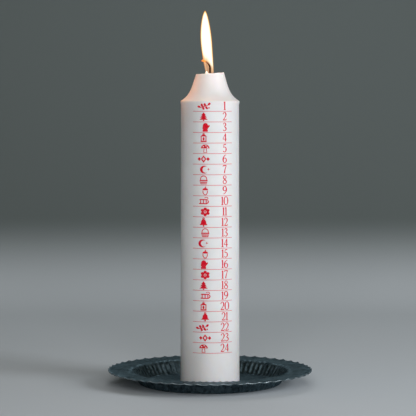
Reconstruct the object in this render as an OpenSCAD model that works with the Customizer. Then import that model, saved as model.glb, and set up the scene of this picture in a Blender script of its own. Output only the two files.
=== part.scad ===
// Calendar candle, lit, standing on a fluted sheet metal plate.
// The origin is the middle of the plate's underside, +Z is up and the printed scale faces -Y.

/* [Candle] */
// Height of the body, from the base to the shoulder
body_h = 241.5; // [180:0.5:400]
// Diameter at the base
base_d = 50.8; // [46:0.1:76]
// Diameter just under the shoulder
shoulder_d = 49.5; // [44:0.1:74]
// Rounding of the base's edge
base_round = 1.2; // [0.4:0.1:3]
// Thickness of the dipped coat over the pressed core
coat_t = 1.2; // [0.6:0.1:2.4]

/* [Neck] */
// Height of the waisted neck above the shoulder
neck_h = 24; // [16:0.5:40]
// Diameter of the burning top
top_d = 24; // [18:0.1:34]
// Share of the neck's widening that is an even taper, where the rest gathers above the lip
neck_taper = 0.53; // [0.3:0.01:0.8]
// Turn round the lip's edge at which the neck leaves it, in degrees
lip_turn = 58; // [40:1:70]
// How far the soft lip stands out round the shoulder
lip_out = 0.4; // [0.1:0.05:1.2]
// Radius of the lip's edge
lip_r = 0.8; // [0.6:0.1:2.5]
// Height over which the lip dies away into the wall
lip_fade = 3.2; // [2.6:0.1:8]
// Slope of the unevenly burnt rim, in degrees
burn_slope = 3.4; // [0:0.1:5]

/* [Melt pool] */
// Depth of the liquid wax at the wick
pool_depth = 1.5; // [0.9:0.1:2.5]
// Depth of the liquid wax where it meets the coat
pool_edge = 0.4; // [0.2:0.1:0.7]
// How far the liquid lies below the middle of the rim
pool_drop = 1.1; // [0.9:0.1:1.6]
// Diameter of the lump of wax beside the wick
lump_d = 2.4; // [1.5:0.1:4]
// Height of the lump above the liquid
lump_rise = 2.9; // [1:0.1:4.5]
// Liquid wax between the wick and the lump
lump_off = 0.5; // [0.3:0.1:1.5]

/* [Wick] */
// Diameter of the cotton braid in the wax
braid_d = 2.4; // [1.6:0.1:3]
// Height of the braid's trimmed end above the candle's base
braid_trim = 1; // [0.4:0.1:6]
// Diameter of the charred wick
char_d = 1.8; // [1.2:0.1:2.6]
// Height above the rim at which the charred wick begins to curl
curl_rise = 4.2; // [3:0.1:10]
// Radius of the curl
curl_r = 6.6; // [4:0.1:10]
// How far the curl turns over, in degrees
curl_turn = 95; // [60:1:120]
// Part of the turn that glows, in degrees
ember_turn = 30; // [12:1:40]

/* [Flame] */
// Height of the flame
flame_h = 54; // [30:0.5:90]
// Greatest width of the flame
flame_w = 9.6; // [7:0.1:16]
// Width of the flame round the foot of the wick
flame_foot_w = 7.2; // [5:0.1:9]
// How far the tip leans over
flame_lean = 4.2; // [0:0.1:8]
// Height of the flame's foot above the liquid wax
flame_lift = 0.4; // [0.2:0.1:1]
// Height of the dim inner cone
cone_h = 17; // [12:0.5:28]
// Width of the dim inner cone
cone_w = 5.4; // [4:0.1:6.6]

/* [Day scale] */
// Number of days
days = 24; // [6:1:31]
// Distance of the first rule below the shoulder
first_drop = 8; // [5:0.1:30]
// Height of the last rule above the candle's base
last_rise = 28.7; // [5:0.1:60]
// Width of a printed rule
rule_w = 0.34; // [0.2:0.02:0.8]
// Length of a rule round the candle, in degrees
rule_span = 82; // [40:1:120]
// Turn of the middle of the rules from the front, in degrees
rule_turn = 6; // [-20:1:20]
// Thickness of the ink
ink_t = 0.1; // [0.05:0.01:0.3]

/* [Plate] */
// Diameter over the rim
plate_d = 175.2; // [165:0.5:240]
// Height of the rim's middle line above the table
rim_h = 12.2; // [10:0.1:18]
// Thickness of the sheet
sheet_t = 0.8; // [0.4:0.1:1.4]
// Diameter of the flat underside
foot_d = 116; // [108:0.5:124]
// Radius of the bend between the floor and the wall
floor_bend_r = 3; // [2:0.1:5]
// Steepness of the wall, in degrees from level
wall_slope = 58; // [45:1:65]
// Radius of the bend between the wall and the brim
brim_bend_r = 6; // [4:0.1:9]
// Rise of the brim, in degrees
brim_slope = 2; // [0:0.5:4]
// Number of flutes pressed into the wall
flutes = 78; // [36:1:96]
// Height of a flute, from trough to crest
flute_h = 0.9; // [0.4:0.1:2]
// Share of the brim's flat over which the flutes die away
flute_fade = 0.5; // [0.2:0.05:0.9]
// Number of lobes round the rim
lobes = 52; // [24:1:64]
// Height of a lobe at the rim, from trough to cusp
lobe_h = 0.9; // [0.2:0.1:2]
// How far the rim scallops in and out
scallop = 0.5; // [0:0.1:2]

/* [Fits] */
// Gap between the pieces of wax, braid, ink and flame
wax_gap = 0.05; // [0.02:0.01:0.15]
// Gap under the standing candle
seat_gap = 0.05; // [0.02:0.01:0.3]

/* [Hidden] */

// Facets of large and small round shapes
round_fn = 120;
small_fn = 40;
// The bowl is so shallow that its wide circle needs short facets
bowl_fn = 480;
// Steps down the curve of the neck
neck_steps = 16;
// A length that carries a cut past the surface
past = 1;

// Heights above the table
base_z = sheet_t + seat_gap;
shoulder_z = base_z + body_h;
top_z = shoulder_z + neck_h;
neck_end_z = top_z + 5 * past;
pool_z = top_z - pool_drop;
bowl_z = pool_z - pool_depth;
flame_z = pool_z + flame_lift;

// Radii of the candle
base_r = base_d / 2;
shoulder_r = shoulder_d / 2;
top_r = top_d / 2;
lip_middle = [shoulder_r + lip_out - lip_r, shoulder_z];

// Radius of the straight, slightly tapered wall at height z
function wall_r(z) = base_r + (shoulder_r - base_r) * (z - base_z) / body_h;

// The neck widens evenly from the burning top, then flares out and meets the lip's edge smoothly
neck_foot = lip_middle + lip_r * [cos(lip_turn), sin(lip_turn)];
neck_drop = top_z - neck_foot[1];
neck_widening = neck_foot[0] - top_r;
flare_power = (tan(lip_turn) * neck_drop / neck_widening - neck_taper) / (1 - neck_taper);
function neck_share(z) = (top_z - z) / neck_drop;
function neck_line(z) =
    top_r + neck_widening * (neck_taper * neck_share(z)
        + (1 - neck_taper) * pow(max(0, neck_share(z)), flare_power));
function neck_lean(z) =
    neck_widening / neck_drop * (neck_taper
        + (1 - neck_taper) * flare_power * pow(max(0, neck_share(z)), flare_power - 1));

// Radius of the neck at height z, under a skin of thickness skin
function neck_r(z, skin) = neck_line(z) - skin * sqrt(1 + pow(neck_lean(z), 2));

// The solid wax under the liquid is a shallow spherical bowl
core_skin = coat_t + wax_gap;
bowl_sag = pool_depth - pool_edge;
bowl_r = (pow(neck_r(pool_z, core_skin), 2) + pow(bowl_sag, 2)) / (2 * bowl_sag);

// The lump stands beside the wick, on the side to which the wick curls
lump_x = -(braid_d + lump_d) / 2 - lump_off;

// Half of the candle's section up to height top, under a skin of thickness skin
module candle_half(skin, top) {
    difference() {
        polygon([
            [0, base_z],
            [base_r - skin, base_z],
            [shoulder_r - skin, shoulder_z],
            [shoulder_r - skin, top],
            [0, top]
        ]);
        // what lies outside the neck, in steps that close up towards the lip
        polygon(concat(
            [for (k = [0 : neck_steps])
                let (z = neck_end_z - (neck_end_z - neck_foot[1]) * sqrt(k / neck_steps))
                    [neck_r(z, skin), z]],
            [[neck_r(neck_foot[1] - past, skin), neck_foot[1] - past],
                [base_d, neck_foot[1] - past],
                [base_d, neck_end_z]]
        ));
    }
}

module base_edge() {
    difference() {
        translate([base_r - base_round, base_z]) square([base_round + past, base_round]);
        translate([base_r - base_round, base_z + base_round])
            circle(r = base_round, $fn = small_fn);
    }
}

module lip_half() {
    translate(lip_middle) circle(r = lip_r, $fn = small_fn);
    polygon([
        [lip_middle[0], shoulder_z],
        [lip_middle[0], shoulder_z - lip_fade],
        [wall_r(shoulder_z - lip_fade), shoulder_z - lip_fade],
        [lip_middle[0] + lip_r, shoulder_z]
    ]);
}

// Everything above the sloping plane in which the rim has burnt
module burnt_away() {
    translate([0, 0, top_z])
        rotate([0, -burn_slope, 0])
            translate([-base_d, -base_d, 0])
                cube([2 * base_d, 2 * base_d, neck_h]);
}

module wick_hole(d) {
    translate([0, 0, base_z - past])
        cylinder(d = d + 2 * wax_gap, h = body_h + neck_h + 2 * past, $fn = small_fn);
}

module lump_shape(gap) {
    translate([lump_x, 0, bowl_z - gap])
        cylinder(d = lump_d + 2 * gap, h = pool_depth + lump_rise - lump_d / 2 + gap, $fn = small_fn);
    translate([lump_x, 0, pool_z + lump_rise - lump_d / 2])
        sphere(d = lump_d + 2 * gap, $fn = small_fn);
}

module wax_core() {
    color("ivory")
        difference() {
            union() {
                rotate_extrude($fn = round_fn)
                    difference() {
                        candle_half(core_skin, pool_z - pool_edge);
                        translate([0, bowl_z + bowl_r]) circle(r = bowl_r, $fn = bowl_fn);
                    }
                lump_shape(0);
            }
            wick_hole(braid_d);
        }
}

module wax_coat() {
    color("white")
        difference() {
            rotate_extrude($fn = round_fn)
                difference() {
                    union() {
                        candle_half(0, top_z + 2 * past);
                        lip_half();
                    }
                    base_edge();
                    candle_half(coat_t, top_z + 4 * past);
                    translate([0, base_z - past]) square([base_r - coat_t, 2 * past]);
                }
            burnt_away();
        }
}

module melt_pool() {
    color("lightyellow")
        difference() {
            rotate_extrude($fn = round_fn)
                intersection() {
                    candle_half(core_skin, pool_z);
                    translate([0, bowl_z + bowl_r]) circle(r = bowl_r - wax_gap, $fn = bowl_fn);
                }
            wick_hole(braid_d);
            lump_shape(wax_gap);
        }
}

module wick_braid() {
    color("beige")
        translate([0, 0, base_z + braid_trim])
            cylinder(d = braid_d, h = bowl_z - base_z - braid_trim, $fn = small_fn);
}

// A stretch of the curl between two turns, with a section of diameter d
module curl(from, to, d) {
    translate([-curl_r, 0, top_z + curl_rise])
        rotate([90, 0, 0])
            rotate([0, 0, from])
                rotate_extrude(angle = to - from, $fn = round_fn)
                    translate([curl_r, 0]) circle(d = d, $fn = small_fn);
}

module wick_stem(d) {
    translate([0, 0, bowl_z])
        cylinder(d = d, h = top_z + curl_rise - bowl_z, $fn = small_fn);
}

module charred_wick() {
    color("black") {
        wick_stem(char_d);
        curl(0, curl_turn - ember_turn, char_d);
    }
}

module wick_ember() {
    color("orangered") curl(curl_turn - ember_turn, curl_turn, char_d);
}

// What the flame has to leave room for
module in_the_flame() {
    wick_stem(char_d + 2 * wax_gap);
    curl(0, curl_turn + 5, char_d + 2 * wax_gap);
    lump_shape(wax_gap);
}

// A flame's half width at share u of its height, fullest half way up
foot_share = 0.03;
function foot_round(u) = u < foot_share ? sqrt(1 - pow(1 - u / foot_share, 2)) : 1;
function flame_half(u, w, foot_w) =
    u < 0.5
        ? foot_round(u) * (w / 2 - (w - foot_w) / 2 * pow(1 - 2 * u, 1.5))
        : w / 2 * pow(sin(180 * (1 - u)), 0.62);

// How far the flame's middle has drifted at height z above its foot
function flame_drift(z) = -flame_lean * (1 - pow(max(0, 1 - z / flame_h), 1.9));

flame_sides = 20;
flame_rings = 15;
flame_points = flame_sides * (flame_rings - 1);
function ring_share(k) = (1 - cos(180 * k / flame_rings)) / 2;
function flame_point(ring, side) = ring * flame_sides + side % flame_sides;

module flame_shape(h, w, foot_w) {
    polyhedron(
        points = concat(
            [for (k = [1 : flame_rings - 1], s = [0 : flame_sides - 1])
                let (u = ring_share(k), a = 360 * s / flame_sides)
                    [flame_drift(u * h) + flame_half(u, w, foot_w) * cos(a),
                        flame_half(u, w, foot_w) * sin(a),
                        flame_z + u * h]],
            [[0, 0, flame_z], [flame_drift(h), 0, flame_z + h]]
        ),
        faces = concat(
            [for (k = [0 : flame_rings - 3], s = [0 : flame_sides - 1])
                [flame_point(k, s), flame_point(k + 1, s), flame_point(k + 1, s + 1)]],
            [for (k = [0 : flame_rings - 3], s = [0 : flame_sides - 1])
                [flame_point(k, s), flame_point(k + 1, s + 1), flame_point(k, s + 1)]],
            [for (s = [0 : flame_sides - 1])
                [flame_points, flame_point(0, s), flame_point(0, s + 1)]],
            [for (s = [0 : flame_sides - 1])
                [flame_points + 1, flame_point(flame_rings - 2, s + 1), flame_point(flame_rings - 2, s)]]
        )
    );
}

module flame_cone() {
    color("peachpuff")
        difference() {
            flame_shape(cone_h, cone_w, cone_w);
            in_the_flame();
        }
}

module flame_mantle() {
    color("gold")
        difference() {
            flame_shape(flame_h, flame_w, flame_foot_w);
            translate([0, 0, -wax_gap])
                flame_shape(cone_h + 2 * wax_gap, cone_w + 2 * wax_gap, cone_w + 2 * wax_gap);
            in_the_flame();
        }
}

module day_rule(z) {
    low = z - rule_w / 2;
    high = z + rule_w / 2;
    rotate([0, 0, rule_turn - 90 - rule_span / 2])
        rotate_extrude(angle = rule_span, $fn = round_fn)
            polygon([
                [wall_r(low) + wax_gap, low],
                [wall_r(low) + wax_gap + ink_t, low],
                [wall_r(high) + wax_gap + ink_t, high],
                [wall_r(high) + wax_gap, high]
            ]);
}

module day_rules() {
    pitch = (body_h - first_drop - last_rise) / (days - 1);
    color("crimson")
        for (day = [0 : days - 1])
            day_rule(shoulder_z - first_drop - day * pitch);
}

// The middle line of the sheet, as [radius, height, slope] from the floor's edge to the rim
plate_r = plate_d / 2;
foot_r = foot_d / 2;
floor_steps = 2;
brim_steps = 3;
floor_bend = [for (k = [0 : floor_steps])
    let (a = wall_slope * k / floor_steps)
        [foot_r + floor_bend_r * sin(a), sheet_t / 2 + floor_bend_r * (1 - cos(a)), a]];
wall_foot = floor_bend[floor_steps];
brim_reach = brim_bend_r * (sin(wall_slope) - sin(brim_slope));
brim_lift = brim_bend_r * (cos(brim_slope) - cos(wall_slope));
reach_left = plate_r - wall_foot[0] - brim_reach;
lift_left = rim_h - wall_foot[1] - brim_lift;
wall_l = (lift_left * cos(brim_slope) - reach_left * sin(brim_slope)) / sin(wall_slope - brim_slope);
wall_top_r = wall_foot[0] + wall_l * cos(wall_slope);
brim_bend = [for (k = [0 : brim_steps])
    let (a = wall_slope + (brim_slope - wall_slope) * k / brim_steps)
        [wall_top_r + brim_bend_r * (sin(wall_slope) - sin(a)),
            wall_foot[1] + wall_l * sin(wall_slope) + brim_bend_r * (cos(a) - cos(wall_slope)),
            a]];
rim = [plate_r, rim_h, brim_slope];
flute_end = brim_bend[brim_steps] + flute_fade * (rim - brim_bend[brim_steps]);
sheet_line = concat(floor_bend, brim_bend, [flute_end, rim]);

// How far, from 0 to 1, the flutes and the rim's lobes have grown at radius r
function fluted(r) =
    min(1, (r - foot_r) / floor_bend_r, max(0, (flute_end[0] - r) / (flute_end[0] - wall_top_r)));
function lobed(r) = max(0, (r - wall_top_r) / (plate_r - wall_top_r));

// The lobes hang down between narrow cusps
function lobe_wave(turn) = 1 - 2 * abs(sin(lobes * turn / 2));

// A point of the sheet's upper face (side 1) or under face (side -1)
ring_points = 2 * flutes;
stations = len(sheet_line);
function sheet_point(station, j, side) =
    let (
        at = sheet_line[station],
        turn = 360 * j / ring_points,
        flute = (j % 2 == 0 ? 1 : -1) * flute_h / 2 * fluted(at[0]),
        lobe = lobe_wave(turn) * pow(lobed(at[0]), 2),
        lift = side * sheet_t / 2 + flute + lobe * lobe_h / 2,
        r = at[0] - lift * sin(at[2]) + lobe * scallop / 2
    )
    [r * cos(turn), r * sin(turn), at[1] + lift * cos(at[2])];
function plate_point(ring, j) = ring * ring_points + j % ring_points;

module plate() {
    color("slategray")
        polyhedron(
            points = concat(
                [for (k = [0 : stations - 1], j = [0 : ring_points - 1]) sheet_point(k, j, 1)],
                [for (k = [stations - 1 : -1 : 0], j = [0 : ring_points - 1]) sheet_point(k, j, -1)]
            ),
            faces = concat(
                [[for (j = [ring_points - 1 : -1 : 0]) plate_point(0, j)]],
                [for (k = [0 : 2 * stations - 2], j = [0 : ring_points - 1])
                    [plate_point(k, j), plate_point(k, j + 1), plate_point(k + 1, j + 1)]],
                [for (k = [0 : 2 * stations - 2], j = [0 : ring_points - 1])
                    [plate_point(k, j), plate_point(k + 1, j + 1), plate_point(k + 1, j)]],
                [[for (j = [0 : ring_points - 1]) plate_point(2 * stations - 1, j)]]
            )
        );
}

plate();
wax_core();
wax_coat();
wick_braid();
charred_wick();
wick_ember();
melt_pool();
flame_cone();
flame_mantle();
day_rules();
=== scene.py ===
import math
import bpy
from mathutils import Matrix, Vector, noise


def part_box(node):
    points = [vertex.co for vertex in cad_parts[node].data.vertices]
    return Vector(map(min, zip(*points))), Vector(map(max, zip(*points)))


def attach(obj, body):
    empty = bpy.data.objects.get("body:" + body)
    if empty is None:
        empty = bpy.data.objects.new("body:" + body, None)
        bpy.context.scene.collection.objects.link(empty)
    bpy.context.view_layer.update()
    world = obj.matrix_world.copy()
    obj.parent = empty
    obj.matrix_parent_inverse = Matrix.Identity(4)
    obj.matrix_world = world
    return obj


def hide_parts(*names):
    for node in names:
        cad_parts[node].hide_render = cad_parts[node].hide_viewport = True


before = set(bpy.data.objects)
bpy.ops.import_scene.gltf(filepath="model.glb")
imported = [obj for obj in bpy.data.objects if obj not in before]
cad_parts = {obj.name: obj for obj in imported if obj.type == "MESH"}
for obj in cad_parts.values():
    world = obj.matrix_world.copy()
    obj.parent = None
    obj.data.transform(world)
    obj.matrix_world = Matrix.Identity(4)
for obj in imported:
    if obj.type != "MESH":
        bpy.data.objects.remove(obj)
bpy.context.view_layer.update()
print("frame loaded")

mm = 0.001


# General helpers

def selectOnly(*objects):
    bpy.ops.object.select_all(action="DESELECT")
    for thing in objects:
        thing.select_set(True)
    bpy.context.view_layer.objects.active = objects[0]


def editing(thing):
    selectOnly(thing)
    bpy.ops.object.mode_set(mode="EDIT")


def doneEditing():
    bpy.ops.object.mode_set(mode="OBJECT")


def applyAll(thing):
    selectOnly(thing)
    for modifier in list(thing.modifiers):
        bpy.ops.object.modifier_apply(modifier=modifier.name)


def tidyNormals(thing, gap=1e-6):
    editing(thing)
    bpy.ops.mesh.select_all(action="SELECT")
    bpy.ops.mesh.remove_doubles(threshold=gap)
    bpy.ops.mesh.normals_make_consistent(inside=False)
    doneEditing()


def smooth(thing, degrees=35):
    selectOnly(thing)
    bpy.ops.object.shade_smooth_by_angle(angle=math.radians(degrees))


def settle(thing, name, material, body, slot, *replaced):
    thing.name = name
    thing.data.name = name
    thing.data.materials.clear()
    thing.data.materials.append(material)
    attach(thing, body)
    if replaced:
        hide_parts(*replaced)
    return thing


def turned(name, profile, steps, closed=True):
    # a single point is drawn out along the profile, given as (radius, height), then spun round
    bpy.ops.object.select_all(action="DESELECT")
    bpy.ops.mesh.primitive_plane_add(size=mm)
    thing = bpy.context.object
    thing.name = name
    thing.data.vertices[0].co = (profile[0][0], 0, profile[0][1])
    editing(thing)
    bpy.ops.mesh.select_all(action="DESELECT")
    bpy.ops.mesh.select_mode(type="VERT")
    doneEditing()
    for vertex in thing.data.vertices:
        vertex.select = vertex.index != 0
    editing(thing)
    bpy.ops.mesh.delete(type="VERT")
    bpy.ops.mesh.select_all(action="SELECT")
    path = profile + [profile[0]] if closed else profile
    for here, there in zip(path, path[1:]):
        step = (there[0] - here[0], 0, there[1] - here[1])
        bpy.ops.mesh.extrude_region_move(TRANSFORM_OT_translate={"value": step})
    bpy.ops.mesh.select_all(action="SELECT")
    bpy.ops.mesh.remove_doubles(threshold=1e-7)
    bpy.ops.mesh.spin(steps=steps, angle=math.tau, center=(0, 0, 0), axis=(0, 0, 1))
    doneEditing()
    tidyNormals(thing)
    return thing


def arcPoints(middle, radius, start, end, count):
    turns = [math.radians(start + (end - start) * k / count) for k in range(count + 1)]
    return [(middle[0] + radius * math.cos(t), middle[1] + radius * math.sin(t)) for t in turns]


def mixed(a, b, share):
    return a + (b - a) * share


def eased(value, low, high):
    share = min(1, max(0, (value - low) / (high - low)))
    return share * share * (3 - 2 * share)


# Camera, from the candle's edges and the plate's ellipse

camera = {
    "lens": 170.2,
    "distance": 1.681,
    "sideways": -0.0017,
    "height": 0.2565,
    "pitch": 3.58,
    "sensor": 36,
    "farthest": 20,
}


def setCamera():
    bpy.ops.object.camera_add(
        location=(camera["sideways"], -camera["distance"], camera["height"]),
        rotation=(math.radians(90 - camera["pitch"]), 0, 0))
    shot = bpy.context.object
    shot.data.lens = camera["lens"]
    shot.data.sensor_width = camera["sensor"]
    shot.data.clip_end = camera["farthest"]
    bpy.context.scene.camera = shot


setCamera()


# Sizes of the candle, taken from the CAD where its box tells them

coatLow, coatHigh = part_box("wax_coat")
rulesLow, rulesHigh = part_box("day_rules")

candle = {
    "base": coatLow.z,
    "bodyHeight": 241.5 * mm,
    "baseRadius": coatHigh.x,
    "shoulderRadius": 24.75 * mm,
    "neckHeight": 24 * mm,
    "topRadius": 12 * mm,
    "neckTaper": 0.53,
    "lipOut": 0.4 * mm,
    "lipRadius": 0.8 * mm,
    "lipTurn": 58,
    "lipFade": 3.2 * mm,
    "baseRound": 1.2 * mm,
    "rimRound": 0.55 * mm,
    "coat": 1.2 * mm,
    "waxGap": 0.05 * mm,
    "slope": 3.4,
    "poolDrop": 1.1 * mm,
    "poolDepth": 1.5 * mm,
    "poolEdge": 0.4 * mm,
    "boreRadius": 1.25 * mm,
}
candle["shoulder"] = candle["base"] + candle["bodyHeight"]
candle["top"] = candle["shoulder"] + candle["neckHeight"]
candle["pool"] = candle["top"] - candle["poolDrop"]


def wallRadius(z):
    share = (z - candle["base"]) / candle["bodyHeight"]
    return mixed(candle["baseRadius"], candle["shoulderRadius"], share)


def coatRadius(z):
    # the wall with the lip that stands out under the shoulder
    return wallRadius(z) + candle["lipOut"] * eased(z, candle["shoulder"] - candle["lipFade"],
                                                    candle["shoulder"])


def lipEdge():
    # the middle of the lip's round edge, and the point at which the neck leaves it
    middle = (candle["shoulderRadius"] + candle["lipOut"] - candle["lipRadius"], candle["shoulder"])
    turn = math.radians(candle["lipTurn"])
    return middle, (middle[0] + candle["lipRadius"] * math.cos(turn),
                    middle[1] + candle["lipRadius"] * math.sin(turn))


lipMiddle, neckFoot = lipEdge()


def neckRadius(z, skin=0.0):
    # an even taper from the burning top, and a flare that meets the lip's edge smoothly
    drop = candle["top"] - neckFoot[1]
    widening = neckFoot[0] - candle["topRadius"]
    even = candle["neckTaper"]
    power = (math.tan(math.radians(candle["lipTurn"])) * drop / widening - even) / (1 - even)
    share = (candle["top"] - z) / drop
    curved = max(0, share)
    radius = candle["topRadius"] + widening * (even * share + (1 - even) * curved ** power)
    lean = widening / drop * (even + (1 - even) * power * curved ** (power - 1))
    return radius - skin * math.hypot(1, lean)


def innerShoulder(skin):
    # height at which the neck, under a skin of wax, meets the inside of the wall
    low, high = neckFoot[1] - 3 * mm, candle["top"]
    for halving in range(40):
        z = (low + high) / 2
        if neckRadius(z, skin) > candle["shoulderRadius"] - skin:
            low = z
        else:
            high = z
    return low


def steps(start, end, count):
    return [start + (end - start) * k / count for k in range(count + 1)]


# Materials

def feed(value, socket):
    # value is another node's socket or a plain value
    if isinstance(value, bpy.types.NodeSocket):
        socket.id_data.links.new(value, socket)
    else:
        socket.default_value = value


def setInputs(node, **values):
    for key, value in values.items():
        feed(value, node.inputs[key.replace("_", " ")])
    return node


def addNode(tree, kind, **values):
    return setInputs(tree.nodes.new(kind), **values)


def mathNode(tree, operation, *values):
    node = tree.nodes.new("ShaderNodeMath")
    node.operation = operation
    for value, socket in zip(values, node.inputs):
        feed(value, socket)
    return node.outputs[0]


def rangeNode(tree, value, **limits):
    return addNode(tree, "ShaderNodeMapRange", Value=value, **limits).outputs["Result"]


def onObject(tree, kind, **values):
    # a texture on the object's own coordinates
    where = tree.nodes.new("ShaderNodeTexCoord")
    return addNode(tree, kind, Vector=where.outputs["Object"], **values)


def blendNode(tree, mask, first, second):
    node = tree.nodes.new("ShaderNodeMix")
    node.data_type = "RGBA"
    for socket, value in ((0, mask), (6, first), (7, second)):
        feed(value, node.inputs[socket])
    return node.outputs[2]


def newGroup(name, inputs, outputs):
    tree = bpy.data.node_groups.new(name, "ShaderNodeTree")
    for label, kind, value in inputs:
        socket = tree.interface.new_socket(label, in_out="INPUT", socket_type=kind)
        socket.default_value = value
    for label, kind in outputs:
        tree.interface.new_socket(label, in_out="OUTPUT", socket_type=kind)
    return tree, tree.nodes.new("NodeGroupInput"), tree.nodes.new("NodeGroupOutput")


def mottleGroup():
    # two colours in soft clouds
    tree, given, made = newGroup(
        "softMottle",
        [("Light", "NodeSocketColor", (1, 1, 1, 1)), ("Dark", "NodeSocketColor", (0, 0, 0, 1)),
         ("Scale", "NodeSocketFloat", 60.0), ("Low", "NodeSocketFloat", 0.35),
         ("High", "NodeSocketFloat", 0.65)],
        [("Colour", "NodeSocketColor"), ("Mask", "NodeSocketFloat")])
    cloud = onObject(tree, "ShaderNodeTexNoise", Scale=given.outputs["Scale"], Detail=5.0,
                     Roughness=0.6)
    mask = rangeNode(tree, cloud.outputs["Fac"], From_Min=given.outputs["Low"],
                     From_Max=given.outputs["High"])
    clouds = blendNode(tree, mask, given.outputs["Dark"], given.outputs["Light"])
    setInputs(made, Colour=clouds, Mask=mask)
    return tree


def heightGroup():
    # a mask that rises from 0 to 1 between two heights, which drop towards +X with Slant
    tree, given, made = newGroup(
        "heightFade",
        [("From", "NodeSocketFloat", 0.0), ("To", "NodeSocketFloat", 1.0),
         ("Slant", "NodeSocketFloat", 0.0)],
        [("Mask", "NodeSocketFloat")])
    parts = onObject(tree, "ShaderNodeSeparateXYZ")
    tilted = mathNode(tree, "MULTIPLY_ADD", parts.outputs["X"], given.outputs["Slant"],
                      parts.outputs["Z"])
    spread = addNode(tree, "ShaderNodeMapRange", Value=tilted, From_Min=given.outputs["From"],
                     From_Max=given.outputs["To"])
    spread.interpolation_type = "SMOOTHSTEP"
    setInputs(made, Mask=spread.outputs["Result"])
    return tree


mottle = mottleGroup()
heightFade = heightGroup()


def newMaterial(name):
    material = bpy.data.materials.new(name)
    material.use_nodes = True
    tree = material.node_tree
    return material, tree, tree.nodes["Principled BSDF"]


def groupNode(tree, group, **inputs):
    node = tree.nodes.new("ShaderNodeGroup")
    node.node_tree = group
    return setInputs(node, **inputs)


def addBump(tree, shader, height, strength, distance):
    bump = addNode(tree, "ShaderNodeBump", Height=height, Strength=strength, Distance=distance)
    setInputs(shader, Normal=bump.outputs["Normal"])


black = (0, 0, 0, 1)

wax = {
    "light": (0.87, 0.85, 0.855, 1),
    "dark": (0.82, 0.80, 0.80, 1),
    # tint, strength and reach of the painted glow that stands in for flame light in the wax near
    # the top
    "paintedGlowTint": (1.0, 0.66, 0.50, 1),
    "glow": 0.17,
    "paintedGlowReach": 34 * mm,
    "clouds": 45.0,
    "grain": 900.0,
    "grainHeight": 0.05 * mm,
    "subsurface": 0.25,
    "seepColours": (1.0, 0.55, 0.35),
    "seepDepth": 4 * mm,
    "roughness": 0.42,
    "ior": 1.44,
}


def waxMaterial(name, glowing):
    material, tree, shader = newMaterial(name)
    clouds = groupNode(tree, mottle, Light=wax["light"], Dark=wax["dark"], Scale=wax["clouds"])
    setInputs(shader, Base_Color=clouds.outputs["Colour"], Roughness=wax["roughness"],
              IOR=wax["ior"], Subsurface_Weight=wax["subsurface"],
              Subsurface_Radius=wax["seepColours"], Subsurface_Scale=wax["seepDepth"])
    fine = onObject(tree, "ShaderNodeTexNoise", Scale=wax["grain"], Detail=3.0)
    addBump(tree, shader, fine.outputs["Fac"], 0.12, wax["grainHeight"])
    if glowing:
        # painted glow: emission on the wax near the top stands in for the flame's light shining
        # through it
        near = groupNode(tree, heightFade, From=candle["top"] - wax["paintedGlowReach"],
                         To=candle["top"] + 2 * mm)
        paintedGlowColour = blendNode(tree, near.outputs["Mask"], black, wax["paintedGlowTint"])
        setInputs(shader, Emission_Color=paintedGlowColour, Emission_Strength=wax["glow"])
    return material


zinc = {
    "pale": (0.185, 0.262, 0.300, 1),
    "deep": (0.016, 0.029, 0.036, 1),
    "film": (0.093, 0.139, 0.160, 1),
    "edgeTint": (0.55, 0.67, 0.73, 1),
    "worn": (0.33, 0.385, 0.41, 1),
    "spangle": 420.0,
    "filmClouds": 60.0,
    "filmOverCrystals": 0.45,
    "wearFrom": 86.4 * mm,
    "wearTo": 87.9 * mm,
    "wearPatches": 240.0,
    "metallic": 0.85,
    "smoothest": 0.33,
    "roughest": 0.5,
    "reliefHeight": 0.1 * mm,
}


def zincMaterial():
    # crystal flowers of zinc under a dull grey-blue film, rubbed bright at the rim
    material, tree, shader = newMaterial("galvanisedSheet")
    flowers = onObject(tree, "ShaderNodeTexVoronoi", Scale=zinc["spangle"], Randomness=1.0)
    grey = addNode(tree, "ShaderNodeSeparateColor", Color=flowers.outputs["Color"])
    crystals = blendNode(tree, grey.outputs[0], zinc["deep"], zinc["pale"])
    film = groupNode(tree, mottle, Light=zinc["film"], Dark=zinc["deep"],
                     Scale=zinc["filmClouds"], Low=0.38, High=0.66)
    coloured = blendNode(tree, zinc["filmOverCrystals"], crystals, film.outputs["Colour"])
    flat = onObject(tree, "ShaderNodeVectorMath")
    flat.operation = "MULTIPLY"
    flat.inputs[1].default_value = (1, 1, 0)
    radius = addNode(tree, "ShaderNodeVectorMath", Vector=flat.outputs[0])
    radius.operation = "LENGTH"
    edge = rangeNode(tree, radius.outputs["Value"], From_Min=zinc["wearFrom"],
                     From_Max=zinc["wearTo"])
    rubbed = groupNode(tree, mottle, Scale=zinc["wearPatches"], Low=0.35, High=0.55)
    wear = mathNode(tree, "MULTIPLY", edge, rubbed.outputs["Mask"])
    rough = rangeNode(tree, grey.outputs[1], To_Min=zinc["smoothest"], To_Max=zinc["roughest"])
    setInputs(shader, Base_Color=blendNode(tree, wear, coloured, zinc["worn"]), Roughness=rough,
              Metallic=zinc["metallic"], Specular_Tint=zinc["edgeTint"])
    relief = mathNode(tree, "ADD", grey.outputs[2], film.outputs["Mask"])
    addBump(tree, shader, relief, 0.25, zinc["reliefHeight"])
    return material


ink = {
    "full": (0.74, 0.003, 0.020, 1),
    "thin": (0.78, 0.045, 0.085, 1),
    "patches": 420.0,
    "roughness": 0.6,
    "specular": 0.1,
    "relief": 0.03 * mm,
}


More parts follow.
